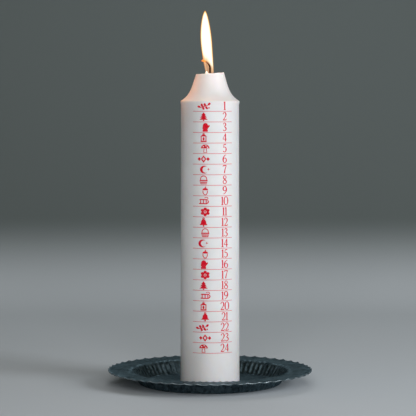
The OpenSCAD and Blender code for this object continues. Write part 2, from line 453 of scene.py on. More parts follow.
def inkMaterial(name, share):
    # screen print, with thinner patches; share says how faded it is
    material, tree, shader = newMaterial(name)
    patches = groupNode(tree, mottle, Light=ink["thin"], Dark=ink["full"], Scale=ink["patches"],
                        Low=0.5 - 0.4 * share, High=0.85 - 0.4 * share)
    setInputs(shader, Base_Color=patches.outputs["Colour"], Roughness=ink["roughness"],
              Specular_IOR_Level=ink["specular"])
    addBump(tree, shader, patches.outputs["Mask"], 0.2, ink["relief"])
    return material


char = {
    "light": (0.050, 0.017, 0.012, 1),
    "dark": (0.010, 0.004, 0.003, 1),
    "fibres": 700.0,
    "hot": (0.75, 0.16, 0.03, 1),
    "heat": 0.7,
    "heatFrom": 7 * mm,
    "heatTo": 16 * mm,
    "specular": 0.05,
    "relief": 0.1 * mm,
}


def charMaterial():
    # black at the foot, and dull red where the curl comes near the ember
    material, tree, shader = newMaterial("charredCotton")
    soot = groupNode(tree, mottle, Light=char["light"], Dark=char["dark"], Scale=char["fibres"])
    hot = groupNode(tree, heightFade, From=candle["top"] + char["heatFrom"],
                    To=candle["top"] + char["heatTo"], Slant=-1.0)
    setInputs(shader, Base_Color=soot.outputs["Colour"], Roughness=1.0,
              Specular_IOR_Level=char["specular"], Emission_Strength=char["heat"],
              Emission_Color=blendNode(tree, hot.outputs["Mask"], black, char["hot"]))
    addBump(tree, shader, soot.outputs["Mask"], 0.6, char["relief"])
    return material


ember = {
    "light": (1.0, 0.36, 0.05, 1),
    "dark": (0.85, 0.17, 0.015, 1),
    "coals": 800.0,
    "ash": (0.10, 0.03, 0.01, 1),
    "strength": 1.25,
}


def emberMaterial():
    material, tree, shader = newMaterial("glowingCotton")
    coals = groupNode(tree, mottle, Light=ember["light"], Dark=ember["dark"],
                      Scale=ember["coals"], Low=0.4, High=0.6)
    setInputs(shader, Emission_Color=coals.outputs["Colour"], Emission_Strength=ember["strength"],
              Base_Color=ember["ash"], Roughness=0.9)
    return material


cotton = {
    "light": (0.80, 0.76, 0.66, 1),
    "dark": (0.55, 0.50, 0.40, 1),
    "plait": 260.0,
    "relief": 0.15 * mm,
}


def cottonMaterial():
    material, tree, shader = newMaterial("waxedCotton")
    plait = onObject(tree, "ShaderNodeTexWave", Scale=cotton["plait"], Distortion=1.5)
    plait.bands_direction = "DIAGONAL"
    colour = blendNode(tree, plait.outputs["Fac"], cotton["dark"], cotton["light"])
    setInputs(shader, Base_Color=colour, Roughness=0.7)
    addBump(tree, shader, plait.outputs["Fac"], 0.5, cotton["relief"])
    return material


liquid = {
    "light": (0.93, 0.86, 0.74, 1),
    "dark": (0.84, 0.76, 0.62, 1),
    "clouds": 120.0,
    "roughness": 0.06,
    "subsurface": 0.4,
    "seepColours": (1.0, 0.6, 0.35),
    "seepDepth": 3 * mm,
    "coat": 0.6,
}


def liquidMaterial():
    material, tree, shader = newMaterial("liquidWax")
    depth = groupNode(tree, mottle, Light=liquid["light"], Dark=liquid["dark"],
                      Scale=liquid["clouds"])
    setInputs(shader, Base_Color=depth.outputs["Colour"], Roughness=liquid["roughness"],
              IOR=wax["ior"], Coat_Weight=liquid["coat"], Subsurface_Weight=liquid["subsurface"],
              Subsurface_Radius=liquid["seepColours"], Subsurface_Scale=liquid["seepDepth"])
    return material


def flameMaterial(shell):
    # near and far are how solid the light is on those walls, at the foot and in the body
    material, tree, shader = newMaterial(shell["material"])
    rise = groupNode(tree, heightFade, From=flame["foot"] + shell["fadeFrom"],
                     To=flame["foot"] + shell["fadeTo"], Slant=shell["slant"]).outputs["Mask"]
    late = rangeNode(tree, rise, From_Min=flame["lateStart"])
    wall = tree.nodes.new("ShaderNodeMix")
    for socket, mask, (thin, thick) in ((2, late, shell["near"]), (3, rise, shell["far"])):
        feed(rangeNode(tree, mask, To_Min=thin, To_Max=thick), wall.inputs[socket])
    side = tree.nodes.new("ShaderNodeNewGeometry")
    feed(side.outputs["Backfacing"], wall.inputs[0])
    setInputs(shader, Emission_Color=blendNode(tree, late, shell["footColour"], shell["colour"]),
              Emission_Strength=shell["strength"], Base_Color=black, Roughness=1.0,
              Specular_IOR_Level=0.0, Alpha=wall.outputs[0])
    return material


# the coat's wax gets the painted glow near the top; the core's wax does not
coatWax = waxMaterial("dippedWax", True)
coreWax = waxMaterial("pressedWax", False)
zincSheet = zincMaterial()
solidInk = inkMaterial("redPrint", 0.1)
thinInk = inkMaterial("redHairline", 0.4)
charCotton = charMaterial()
emberCotton = emberMaterial()
waxedCotton = cottonMaterial()
liquidWax = liquidMaterial()
print("materials made")


# Candle coat: a dipped skin of white wax, open at the base and at the burnt top

def coatProfile():
    c = candle
    inner = c["coat"]
    outer = [(c["baseRadius"] - inner, c["base"])]
    outer += arcPoints((c["baseRadius"] - c["baseRound"], c["base"] + c["baseRound"]),
                       c["baseRound"], -90, 0, 5)
    fadeStart = c["shoulder"] - c["lipFade"]
    outer += [(wallRadius(z), z) for z in steps(c["base"] + 4 * mm, fadeStart, 48)]
    outer += [(coatRadius(z), z) for z in steps(fadeStart, c["shoulder"], 6)[1:-1]]
    outer += arcPoints(lipMiddle, c["lipRadius"], 0, c["lipTurn"], 5)
    neckTop = c["top"] - c["rimRound"]
    outer += [(neckRadius(z), z) for z in steps(neckFoot[1], neckTop, 36)[1:]]
    rim = neckRadius(neckTop) - c["rimRound"]
    outer += arcPoints((rim, neckTop), c["rimRound"], 20, 180, 6)
    outer += [(neckRadius(z, inner), z) for z in steps(neckTop - mm, innerShoulder(inner), 16)]
    outer += [(wallRadius(z) - inner, z) for z in steps(c["shoulder"] - 2 * mm, c["base"] + mm, 10)]
    return outer


melting = {
    "around": 180,
    "from": 9 * mm,
    "to": 1 * mm,
    "waver": 0.22 * mm,
    "waverPace": 2.2,
    "swell": 0.02 * mm,
    "swellPace": 70,
    "ripple": 0.14 * mm,
    "ripplePace": 190,
}


def makeCoat():
    coat = turned("candleCoat", coatProfile(), melting["around"])
    slope = math.tan(math.radians(candle["slope"]))
    for vertex in coat.data.vertices:
        x, y, z = vertex.co
        # the rim has burnt down on one side, and melts in and out a little
        up = eased(z, candle["top"] - melting["from"], candle["top"] - melting["to"])
        turn = math.atan2(y, x)
        ring = Vector((math.cos(turn), math.sin(turn), 0))
        waver = noise.noise(ring * melting["waverPace"]) * melting["waver"]
        vertex.co.z += up * (x * slope + waver)
        swell = noise.noise(Vector((x, y, z * 0.4)) * melting["swellPace"]) * melting["swell"]
        swell += up * noise.noise(Vector((x, y, z)) * melting["ripplePace"]) * melting["ripple"]
        out = Vector((x, y, 0)).normalized()
        vertex.co.x += out.x * swell
        vertex.co.y += out.y * swell
    coat.data.update()
    smooth(coat, 50)
    return settle(coat, "candle_coat", coatWax, "candle", "coat_wax", "wax_coat")


makeCoat()


# Pressed core, with the bowl that the liquid fills and the lump beside the wick

def bowlShape():
    radius = neckRadius(candle["pool"], candle["coat"] + candle["waxGap"])
    sag = candle["poolDepth"] - candle["poolEdge"]
    return radius, (radius ** 2 + sag ** 2) / (2 * sag)


def bowlHeight(r):
    ball = bowlShape()[1]
    bottom = candle["pool"] - candle["poolDepth"]
    return bottom + ball - math.sqrt(ball ** 2 - r ** 2)


def makeCore():
    c = candle
    skin = c["coat"] + c["waxGap"]
    profile = [(c["boreRadius"], c["base"]), (c["baseRadius"] - skin, c["base"])]
    profile += [(wallRadius(z) - skin, z) for z in steps(c["base"] + mm, c["shoulder"] - mm, 12)]
    brink = c["pool"] - c["poolEdge"]
    profile += [(neckRadius(z, skin), z) for z in steps(innerShoulder(skin), brink, 12)]
    bowl = steps(bowlShape()[0] - 0.1 * mm, c["boreRadius"], 10)
    profile += [(r, bowlHeight(r)) for r in bowl]
    core = turned("pressedCore", profile, 96)
    smooth(core, 40)
    return settle(core, "wax_core_body", coreWax, "candle", "core_wax", "wax_core")


lump = {
    "x": -2.9 * mm,
    "width": 2.4 * mm,
    "rise": 2.9 * mm,
    "dents": 0.18 * mm,
    "dentPace": 900,
}


def makeLump():
    bpy.ops.object.select_all(action="DESELECT")
    low = candle["pool"] - candle["poolDepth"] + 0.2 * mm
    high = candle["pool"] + lump["rise"]
    bpy.ops.mesh.primitive_uv_sphere_add(
        segments=24, ring_count=16, radius=lump["width"] / 2,
        location=(lump["x"], 0, (low + high) / 2),
        scale=(1, 1, (high - low) / lump["width"]))
    thing = bpy.context.object
    bpy.ops.object.transform_apply(location=True, rotation=True, scale=True)
    for vertex in thing.data.vertices:
        dent = noise.noise(vertex.co * lump["dentPace"]) * lump["dents"]
        vertex.co += vertex.normal * dent
    smooth(thing, 180)
    return settle(thing, "wax_lump", coatWax, "candle", "core_wax", "wax_core")


makeCore()
makeLump()


# Liquid wax, drawn up a little at the wick and at the wall

pool = {
    "foot": 1.0 * mm,
    "wallGap": 0.03 * mm,
    "climb": 0.3 * mm,
    "climbReach": 0.5 * mm,
}


def makePool():
    c = candle
    foot = pool["foot"]
    reach = neckRadius(c["pool"], c["coat"]) - pool["wallGap"]
    surface = []
    for r in steps(foot, reach, 26):
        climb = sum(math.exp(-run / pool["climbReach"]) for run in (r - foot, reach - r))
        surface.append((r, c["pool"] + pool["climb"] * climb))
    below = [(r, bowlHeight(r) + c["waxGap"]) for r in steps(reach - 0.1 * mm, foot, 10)]
    liquidPool = turned("liquidPool", surface + below, 96)
    smooth(liquidPool, 60)
    return settle(liquidPool, "liquid_pool", liquidWax, "candle", "liquid_wax", "melt_pool")


makePool()
print("wax made")


# Wick: three strands plaited along the curl, the last of it glowing

wick = {
    "width": 1.8 * mm,
    "strand": 0.38 * mm,
    "swing": 0.44 * mm,
    "bulge": 0.26 * mm,
    "plait": 3.4 * mm,
    "foot": candle["pool"] - 1.2 * mm,
    "curlStart": candle["top"] + 4.2 * mm,
    "curlRadius": 6.6 * mm,
    "turn": 95,
    "ember": 30,
    "strands": 3,
    "step": 0.22 * mm,
    "fuzz": 0.05 * mm,
    "fuzzPace": 2500,
    "fuzzSeed": 7,
    "tipTaper": 0.6,
}


def wickPoint(run):
    # place and sideways direction after a length of wick
    straight = wick["curlStart"] - wick["foot"]
    if run < straight:
        return Vector((0, 0, wick["foot"] + run)), Vector((1, 0, 0))
    turn = (run - straight) / wick["curlRadius"]
    x = -wick["curlRadius"] * (1 - math.cos(turn))
    z = wick["curlStart"] + wick["curlRadius"] * math.sin(turn)
    return Vector((x, 0, z)), Vector((math.cos(turn), 0, math.sin(turn)))


def strandPoints(start, end, phase):
    points = []
    for run in steps(start, end, int((end - start) / wick["step"])):
        place, side = wickPoint(run)
        turn = math.tau * run / wick["plait"] + phase
        place = place + side * wick["swing"] * math.sin(turn)
        place = place + Vector((0, 1, 0)) * wick["bulge"] * math.sin(2 * turn)
        points.append(place)
    return points


def madeMesh(shape):
    # the curve as a mesh object
    thing = bpy.data.objects.new("strand", shape)
    bpy.context.scene.collection.objects.link(thing)
    selectOnly(thing)
    bpy.ops.object.convert(target="MESH")
    return bpy.context.object


def roundBevel(shape, openEnds):
    shape.bevel_depth = 1.0
    shape.bevel_resolution = 2
    shape.use_fill_caps = openEnds


def tube(points, radii):
    # a smooth round strand along points
    shape = bpy.data.curves.new("strand", "CURVE")
    shape.dimensions = "3D"
    roundBevel(shape, True)
    spline = shape.splines.new("POLY")
    spline.points.add(len(points) - 1)
    for point, place, radius in zip(spline.points, points, radii):
        point.co = (*place, 1)
        point.radius = radius
    return madeMesh(shape)


def joined(things):
    selectOnly(*things)
    bpy.ops.object.join()
    return bpy.context.object


def makeWick(name, start, end, material, slot, node, taper):
    strands = []
    for k in range(wick["strands"]):
        points = strandPoints(start, end, k * math.tau / wick["strands"])
        last = len(points) - 1
        radii = [wick["strand"] * (1 - taper * max(0, 3 * j / last - 2) ** 2)
                 for j in range(last + 1)]
        strands.append(tube(points, radii))
    piece = joined(strands)
    noise.seed_set(wick["fuzzSeed"])
    for vertex in piece.data.vertices:
        vertex.co += noise.noise_vector(vertex.co * wick["fuzzPace"]) * wick["fuzz"]
    tidyNormals(piece)
    smooth(piece, 60)
    return settle(piece, name, material, "candle", slot, node)


straightRun = wick["curlStart"] - wick["foot"]
coldRun = straightRun + wick["curlRadius"] * math.radians(wick["turn"] - wick["ember"])
fullRun = straightRun + wick["curlRadius"] * math.radians(wick["turn"])
makeWick("charred_plait", 0, coldRun, charCotton, "char", "charred_wick", 0)
makeWick("glowing_tip", coldRun, fullRun, emberCotton, "ember", "wick_ember", wick["tipTaper"])
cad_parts["wick_braid"].data.materials[0] = waxedCotton
print("wick made")


# Flame: shells of light inside each other, thinner round the wick

flame = {
    "foot": candle["pool"] + 0.4 * mm,
    "height": 54 * mm,
    "width": 9.6 * mm,
    "footWidth": 7.2 * mm,
    "lean": 4.2 * mm,
    "footShare": 0.03,
    "lateStart": 0.4,
}


def flameDrift(z):
    left = max(0, 1 - (z - flame["foot"]) / flame["height"])
    return -flame["lean"] * (1 - left ** 1.9)


def flameHalf(u):
    # half width at a share u of the height
    if u >= 0.5:
        return flame["width"] / 2 * max(0, math.sin(math.pi * (1 - u))) ** 0.62
    rounding = 1.0
    if u < flame["footShare"]:
        rounding = math.sqrt(max(0, 1 - (1 - u / flame["footShare"]) ** 2))
    waist = (flame["width"] - flame["footWidth"]) / 2
    return rounding * (flame["width"] / 2 - waist * (1 - 2 * u) ** 1.5)


# each shell's light fades in above the flame's foot; later on the near wall than on the far one
flameShells = {
    "flame_edge": {
        "from": 0, "to": 1, "width": 1.0, "slot": "bright_flame", "node": "flame_mantle",
        "material": "orangeEdge", "footColour": (1.0, 0.42, 0.18, 1),
        "colour": (1.0, 0.36, 0.08, 1), "strength": 0.85, "near": (0.0, 0.12),
        "far": (0.12, 0.85), "fadeFrom": 2 * mm, "fadeTo": 16 * mm, "slant": 0.0,
    },
    "flame_body": {
        "from": 0.012, "to": 0.985, "width": 0.91, "slot": "bright_flame", "node": "flame_mantle",
        "material": "yellowBody", "footColour": (1.0, 0.55, 0.27, 1),
        "colour": (1.0, 0.80, 0.40, 1), "strength": 1.3, "near": (0.0, 0.4),
        "far": (0.42, 1.0), "fadeFrom": 3 * mm, "fadeTo": 14 * mm, "slant": 1.2,
    },
    "flame_heart": {
        "from": 0.03, "to": 0.96, "width": 0.80, "slot": "bright_flame", "node": "flame_mantle",
        "material": "whiteHeart", "footColour": (0.60, 0.46, 0.24, 1),
        "colour": (1.0, 0.98, 0.93, 1), "strength": 1.7, "near": (0.0, 1.0),
        "far": (0.1, 1.0), "fadeFrom": 2 * mm, "fadeTo": 14 * mm, "slant": 1.2,
    },
    "flame_dim_cone": {
        "from": 0.006, "to": 0.30, "width": 0.5, "slot": "dim_flame", "node": "flame_cone",
        "material": "dimCone", "footColour": (0.30, 0.12, 0.08, 1),
        "colour": (1.0, 0.74, 0.38, 1), "strength": 0.95, "near": (0.0, 0.75),
        "far": (0.35, 0.5), "fadeFrom": 6 * mm, "fadeTo": 13 * mm, "slant": 0.0,
    },
}


def makeFlame(name, made):
    # a ball whose rings are drawn to the flame's outline between two shares of its height
    bpy.ops.object.select_all(action="DESELECT")
    bpy.ops.mesh.primitive_uv_sphere_add(segments=40, ring_count=48, radius=1)
    shell = bpy.context.object
    for vertex in shell.data.vertices:
        x, y, z = vertex.co
        share = (z + 1) / 2
        height = flame["foot"] + mixed(made["from"], made["to"], share) * flame["height"]
        half = flameHalf(share) * made["width"] if math.hypot(x, y) > 1e-5 else 0
        turn = math.atan2(y, x)
        vertex.co = (flameDrift(height) + half * math.cos(turn), half * math.sin(turn), height)
    tidyNormals(shell)
    smooth(shell, 180)
    shell.visible_shadow = False
    return settle(shell, name, flameMaterial(made), "candle", made["slot"], made["node"])


for shellName, shellShape in flameShells.items():
    makeFlame(shellName, shellShape)
print("flame made")


# Print, drawn flat in millimetres and then laid on the candle's wall

dayPrint = {
    "relief": 0.05 * mm,
    "lift": 0.03 * mm,
    "rowHeight": (rulesHigh.z - rulesLow.z) / 23,
    "days": 24,
    "firstRule": rulesHigh.z,
    "numberTurn": 30,
    "numberHeight": 6.8,
    "numberRise": 1.15,
    "spacing": 0.65,
    "thick": 0.58,
    "thinnest": 0.44,
    "pictureTurn": -11,
    "pictureWidth": 1.22,
    "pictureHeight": 1.08,
    "pictureThick": 1.7,
    "stagger": 0.7,
    "pictureRise": 4.25,
    "secondRound": 5,
    "strip": 0.6,
}


def curveOnce(shapes):
    # strokes, lines and loops have a thickness at each point; the other kinds are filled
    parts = []
    for kind, points in shapes:
        shape = bpy.data.curves.new("mark", "CURVE")
        stroke = kind in ("stroke", "line", "loop")
        closed = kind not in ("stroke", "line")
        shape.dimensions = "3D" if stroke else "2D"
        shape.resolution_u = 8
        rounded = kind in ("stroke", "leaf", "loop")
        outlines = points if kind == "holed" else [points]
        for outline in outlines:
            spline = shape.splines.new("BEZIER" if rounded else "POLY")
            marks = spline.bezier_points if rounded else spline.points
            marks.add(len(outline) - 1)
            for mark, point in zip(marks, outline):
                if rounded:
                    mark.co = (point[0], point[1], 0)
                    mark.handle_left_type = "AUTO"
                    mark.handle_right_type = "AUTO"
                else:
                    mark.co = (point[0], point[1], 0, 1)
                mark.radius = point[2] if len(point) > 2 else 1
            spline.use_cyclic_u = closed
        if stroke:
            roundBevel(shape, not closed)
        else:
            shape.fill_mode = "BOTH"
            shape.extrude = 0.5
        thing = madeMesh(shape)
        for vertex in thing.data.vertices:
            # every mark has the same thin relief
            top = 0.5 if not stroke else max(0.05, max(abs(p[2]) for p in points))
            vertex.co.z = max(-1, min(1, vertex.co.z / top))
        parts.append(thing)
    return joined(parts)


def sliced(thing):
    # long faces are cut into strips, so that they can follow the round wall
    pitch = dayPrint["strip"]
    low = min(v.co.x for v in thing.data.vertices)
    high = max(v.co.x for v in thing.data.vertices)
    editing(thing)
    for k in range(1, int((high - low) / pitch) + 1):
        bpy.ops.mesh.select_all(action="SELECT")
        bpy.ops.mesh.bisect(plane_co=(low + k * pitch, 0, 0), plane_no=(1, 0, 0))
    bpy.ops.mesh.select_all(action="SELECT")
    bpy.ops.mesh.remove_doubles(threshold=0.002)
    bpy.ops.mesh.normals_make_consistent(inside=False)
    doneEditing()
    return thing


def placedCopy(thing, x, y):
    twin = thing.copy()
    twin.data = thing.data.copy()
    bpy.context.scene.collection.objects.link(twin)
    twin.data.transform(Matrix.Translation((x, y, 0)))
    return twin


def laidOnWall(thing):
    # x is the run round the wall from its front, y the height above the table, z the relief
    for vertex in thing.data.vertices:
        x, y, z = vertex.co
        height = y * mm
        radius = coatRadius(height)
        turn = x * mm / radius
        radius += dayPrint["lift"] + z * dayPrint["relief"]
        vertex.co = (radius * math.sin(turn), -radius * math.cos(turn), height)
    thing.data.update()
    return thing


def printed(name, originals, copies):
    for original in originals:
        bpy.data.objects.remove(original)
    marks = laidOnWall(joined(copies))
    tidyNormals(marks, 1e-7)
    smooth(marks, 60)
    return settle(marks, name, solidInk, "candle", "red_ink")


# Numerals: thick and thin strokes, each with its width; points are (across, up, thickness)

numerals = {
    "0": (4.0, [("loop", [(0.5, 1, 0.35), (0.04, 0.5, 1), (0.5, 0, 0.35), (0.96, 0.5, 1)])]),
    "1": (1.7, [("line", [(0.5, 1, 0.9), (0.5, 0, 0.9)]),
                ("line", [(0.0, 0.87, 0.3), (0.5, 0.98, 0.55)]),
                ("line", [(-0.1, 0.015, 0.3), (1.1, 0.015, 0.3)])]),
    "2": (3.5, [("stroke", [(0.08, 0.76, 0.75), (0.2, 0.94, 0.4), (0.52, 0.985, 0.5),
                            (0.84, 0.74, 1), (0.62, 0.4, 0.6), (0.06, 0.04, 0.35)]),
                ("line", [(0.04, 0.045, 0.65), (0.9, 0.045, 0.65)]),
                ("line", [(0.86, 0.03, 0.4), (0.98, 0.19, 0.25)])]),
    "3": (3.3, [("stroke", [(0.1, 0.83, 0.65), (0.42, 0.985, 0.4), (0.8, 0.78, 0.95),
                            (0.36, 0.545, 0.3)]),
                ("stroke", [(0.36, 0.545, 0.3), (0.9, 0.27, 1), (0.42, 0.01, 0.4),
                            (0.04, 0.13, 0.75)])]),
    "4": (3.9, [("line", [(0.68, 0.98, 0.35), (0.03, 0.31, 0.3)]),
                ("line", [(0.03, 0.29, 0.4), (1.0, 0.29, 0.4)]),
                ("line", [(0.69, 1, 0.85), (0.69, 0, 0.85)])]),
    "5": (3.4, [("line", [(0.24, 0.95, 0.65), (0.88, 0.97, 0.65)]),
                ("line", [(0.26, 0.96, 0.3), (0.14, 0.57, 0.3)]),
                ("stroke", [(0.14, 0.57, 0.35), (0.52, 0.62, 0.45), (0.9, 0.31, 1),
                            (0.46, 0.01, 0.45), (0.04, 0.11, 0.75)])]),
    "6": (3.7, [("stroke", [(0.86, 0.985, 0.3), (0.4, 0.83, 0.6), (0.07, 0.36, 1),
                            (0.48, 0.005, 0.4), (0.92, 0.29, 0.95), (0.52, 0.58, 0.35),
                            (0.12, 0.4, 0.4)])]),
    "7": (3.6, [("line", [(0.06, 0.95, 0.7), (0.96, 0.95, 0.7)]),
                ("line", [(0.08, 0.97, 0.35), (0.0, 0.8, 0.25)]),
                ("stroke", [(0.94, 0.95, 0.35), (0.6, 0.5, 0.7), (0.4, 0, 0.95)])]),
    "8": (3.6, [("loop", [(0.5, 0.995, 0.4), (0.14, 0.8, 0.7), (0.5, 0.53, 0.85),
                            (0.94, 0.23, 0.75), (0.5, 0.005, 0.4), (0.06, 0.23, 0.7),
                            (0.5, 0.53, 0.4), (0.86, 0.8, 0.6)])]),
    "9": (3.7, [("stroke", [(0.14, 0.015, 0.3), (0.6, 0.17, 0.6), (0.93, 0.64, 1),
                            (0.52, 0.995, 0.4), (0.08, 0.71, 0.95), (0.48, 0.42, 0.35),
                            (0.88, 0.6, 0.4)])]),
}


def sized(shapes, across, up, thick, thinnest=0.0):
    def point(p):
        return (p[0] * across, p[1] * up) + tuple(max(w, thinnest) * thick for w in p[2:])

    made = []
    for kind, points in shapes:
        if kind == "holed":
            made.append((kind, [[point(p) for p in outline] for outline in points]))
        else:
            made.append((kind, [point(p) for p in points]))
    return made


def makeNumeral(digit):
    width, shapes = numerals[digit]
    return sliced(curveOnce(sized(shapes, width, dayPrint["numberHeight"], dayPrint["thick"],
                                  dayPrint["thinnest"])))


def ruleHeight(day):
    # height of the rule under a day's row, in millimetres
    return (dayPrint["firstRule"] - (day - 1) * dayPrint["rowHeight"]) / mm


def makeNumbers():
    digits = {d: makeNumeral(d) for d in numerals}
    placed = []
    for day in range(1, dayPrint["days"] + 1):
        text = str(day)
        run = sum(numerals[d][0] for d in text) + dayPrint["spacing"] * (len(text) - 1)
        z = ruleHeight(day) + dayPrint["numberRise"]
        x = math.radians(dayPrint["numberTurn"]) * wallRadius(z * mm) / mm - run / 2
        for d in text:
            placed.append(placedCopy(digits[d], x, z))
            x += numerals[d][0] + dayPrint["spacing"]
    return printed("day_numbers", digits.values(), placed)


# Pictures: plain winter shapes, about seven millimetres high, centred on 0, 0

def ringOf(count, radius, start=90.0):
    turns = [math.radians(start + 360 * k / count) for k in range(count)]
    return [(radius * math.cos(t), radius * math.sin(t)) for t in turns]


def turnedBy(points, degrees):
    c, s = math.cos(math.radians(degrees)), math.sin(math.radians(degrees))
    return [(p[0] * c - p[1] * s, p[0] * s + p[1] * c, *p[2:]) for p in points]


def movedBy(points, x, y):
    return [(p[0] + x, p[1] + y, *p[2:]) for p in points]


def sledge():
    seat = [(-2.9, 0.9), (2.6, 0.9), (2.6, 1.7), (-2.9, 1.7)]
    posts = [[(x, 1.0, 0.22), (x, -1.5, 0.22)] for x in (-2.1, 0, 1.9)]
    runner = [(-3.2, -1.7, 0.26), (0, -1.8, 0.26), (2.4, -1.6, 0.26), (3.4, -0.3, 0.26),
              (2.9, 0.9, 0.2)]
    rope = [(2.6, 1.3, 0.15), (3.1, 2.4, 0.15), (1.9, 3.1, 0.15), (0.6, 2.6, 0.15)]
    return ([("poly", seat), ("stroke", runner), ("stroke", rope)]
            + [("line", post) for post in posts])


def blossom():
    petal = [(0, 0.9), (1.15, 2.1), (0, 3.4), (-1.15, 2.1)]
    petals = [("leaf", turnedBy(petal, 60 * k)) for k in range(6)]
    return petals + [("leaf", ringOf(8, 0.6))]


def firTree():
    tiers = [[(-3.0, -2.4), (3.0, -2.4), (0, 0.3)], [(-2.4, -0.7), (2.4, -0.7), (0, 1.9)],
             [(-1.7, 1.0), (1.7, 1.0), (0, 3.4)]]
    trunk = [(-0.45, -3.4), (0.45, -3.4), (0.45, -2.5), (-0.45, -2.5)]
    return [("poly", tier) for tier in tiers + [trunk]]


def handBell():
    dome = [(-2.9, -2.1), (-1.95, -0.9), (-1.6, 1.2), (-0.7, 2.4), (0.7, 2.4), (1.6, 1.2),
            (1.95, -0.9), (2.9, -2.1)]
    return [("poly", dome), ("leaf", movedBy(ringOf(8, 0.6), 0, -2.75)),
            ("loop", [(*p, 0.2) for p in movedBy(ringOf(6, 0.55), 0, 2.95)])]


def lantern():
    frameLines = [[(x, -2.6, 0.2), (x, 1.2, 0.2)] for x in (-1.7, 1.7)]
    frameLines.append([(-2.1, -2.7, 0.32), (2.1, -2.7, 0.32)])
    roof = [(-2.3, 1.1), (2.3, 1.1), (0.7, 2.6), (-0.7, 2.6)]
    glow = [(0, -2.0), (0.62, -1.1), (0, 0.5), (-0.62, -1.1)]
    return ([("line", line) for line in frameLines]
            + [("poly", roof), ("leaf", glow)]
            + [("loop", [(*p, 0.17) for p in movedBy(ringOf(6, 0.5), 0, 3.0)])])


def crescent():
    outer = arcPoints((0, 0), 3.1, 50, 310, 13)
    inner = arcPoints((1.15, 0), 2.5, 295, 75, 11)
    spark = [(0, 1.1), (0.25, 0.25), (1.1, 0), (0.25, -0.25), (0, -1.1), (-0.25, -0.25),
             (-1.1, 0), (-0.25, 0.25)]
    return [("poly", movedBy(outer + inner, -0.6, 0)), ("poly", movedBy(spark, 2.3, 0.3))]


def mitten():
    hand = [(-1.6, -1.5), (1.6, -1.5), (1.9, 0.6), (1.5, 2.6), (0.2, 3.3), (-1.2, 2.6),
            (-1.7, 0.9)]
    thumb = [(1.5, -0.6), (2.9, 0.5), (3.1, 1.5), (2.4, 1.6), (1.5, 0.8)]
    cuff, hem = [[(-1.8, y, w), (1.8, y, w)] for y, w in ((-2.35, 0.35), (-3.15, 0.2))]
    return [("leaf", hand), ("leaf", thumb), ("line", cuff), ("line", hem)]


def sprig():
    leaf = [(0, 0), (0.75, 0.9), (0, 2.3), (-0.75, 0.9)]
    places = [(-3.4, -0.9, 70), (-2.0, -0.4, 20), (-1.7, -0.7, -160), (0.0, 0.0, 15),
              (0.3, -0.3, -150), (2.0, 0.7, -40)]
    leaves = [("leaf", movedBy(turnedBy(leaf, a), x, y)) for x, y, a in places]
    berries = [("leaf", movedBy(ringOf(8, 0.5), x, y)) for x, y in [(2.6, -1.4), (1.5, -2.0)]]
    stem = [(-3.6, -1.2, 0.15), (-1.2, -0.4, 0.2), (2.4, 0.9, 0.15)]
    return [("stroke", stem)] + leaves + berries


def basket():
    body = [(-2.9, 0.2), (2.9, 0.2), (2.1, -3.2), (-2.1, -3.2)]
    weave = [[(-2.5, -0.7), (-2.4, -1.2), (2.4, -1.2), (2.5, -0.7)],
             [(-2.2, -2.0), (-2.1, -2.5), (2.1, -2.5), (2.2, -2.0)]]
    handle = [(-2.3, 0.3, 0.2), (-1.7, 2.4, 0.2), (0, 3.3, 0.2), (1.7, 2.4, 0.2), (2.3, 0.3, 0.2)]
    return [("holed", [body] + weave), ("stroke", handle)]


def acorn():
    cap = [(-2.1, 0.4), (-1.5, 1.7), (0, 2.3), (1.5, 1.7), (2.1, 0.4)]
    nut = [(-1.6, 0.0, 0.2), (-1.4, -1.7, 0.2), (0, -3.2, 0.2), (1.4, -1.7, 0.2), (1.6, 0.0, 0.2)]
    stalk = [(0, 2.2, 0.25), (0.5, 3.3, 0.2)]
    return [("poly", cap), ("stroke", nut), ("line", stalk)]


def diamonds():
    square = [(0, 1.5), (1.2, 0), (0, -1.5), (-1.2, 0)]
    middle = [(0, 2.9), (1.9, 0), (0, -2.9), (-1.9, 0)]
    hole = [(0, 1.4), (0.9, 0), (0, -1.4), (-0.9, 0)]
    return [("holed", [middle, hole]), ("poly", movedBy(square, -3.1, 0)),
            ("poly", movedBy(square, 3.1, 0))]


def toadstool():
    cap = [(-3.1, 0.1), (-2.6, 1.7), (-1.2, 3.0), (1.2, 3.0), (2.6, 1.7), (3.1, 0.1)]
    spots = [movedBy(ringOf(8, 0.5), x, y) for x, y in [(-1.3, 1.4), (0.5, 2.1), (1.6, 0.9)]]
    stalk = [(-0.8, -0.1, 0.2), (-1.1, -3.1, 0.2), (1.1, -3.1, 0.2), (0.8, -0.1, 0.2)]
    return [("holed", [cap] + spots), ("line", stalk)]


pictures = [sledge, acorn, firTree, lantern, blossom, sprig, handBell, crescent, mitten,
            diamonds, basket, toadstool]
order = [5, 2, 8, 3, 11, 9, 7, 10, 1, 0, 4, 6]


def makePictures():
    drawn = [sliced(curveOnce(sized(picture(), dayPrint["pictureWidth"], dayPrint["pictureHeight"],
                                    dayPrint["pictureThick"]))) for picture in pictures]
    placed = []
    for day in range(1, dayPrint["days"] + 1):
        lap, place = divmod(day - 1, len(order))
        pick = (order[place] + lap * dayPrint["secondRound"]) % len(pictures)
        z = ruleHeight(day) + dayPrint["pictureRise"]
        side = dayPrint["stagger"] * (1 if day % 2 else -1)
        x = math.radians(dayPrint["pictureTurn"]) * wallRadius(z * mm) / mm + side
        placed.append(placedCopy(drawn[pick], x, z))
    return printed("day_pictures", drawn, placed)


makeNumbers()
makePictures()
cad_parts["day_rules"].data.materials[0] = thinInk
print("print made")


# Plate: one pressed sheet, fluted from the bend of the floor to the rim

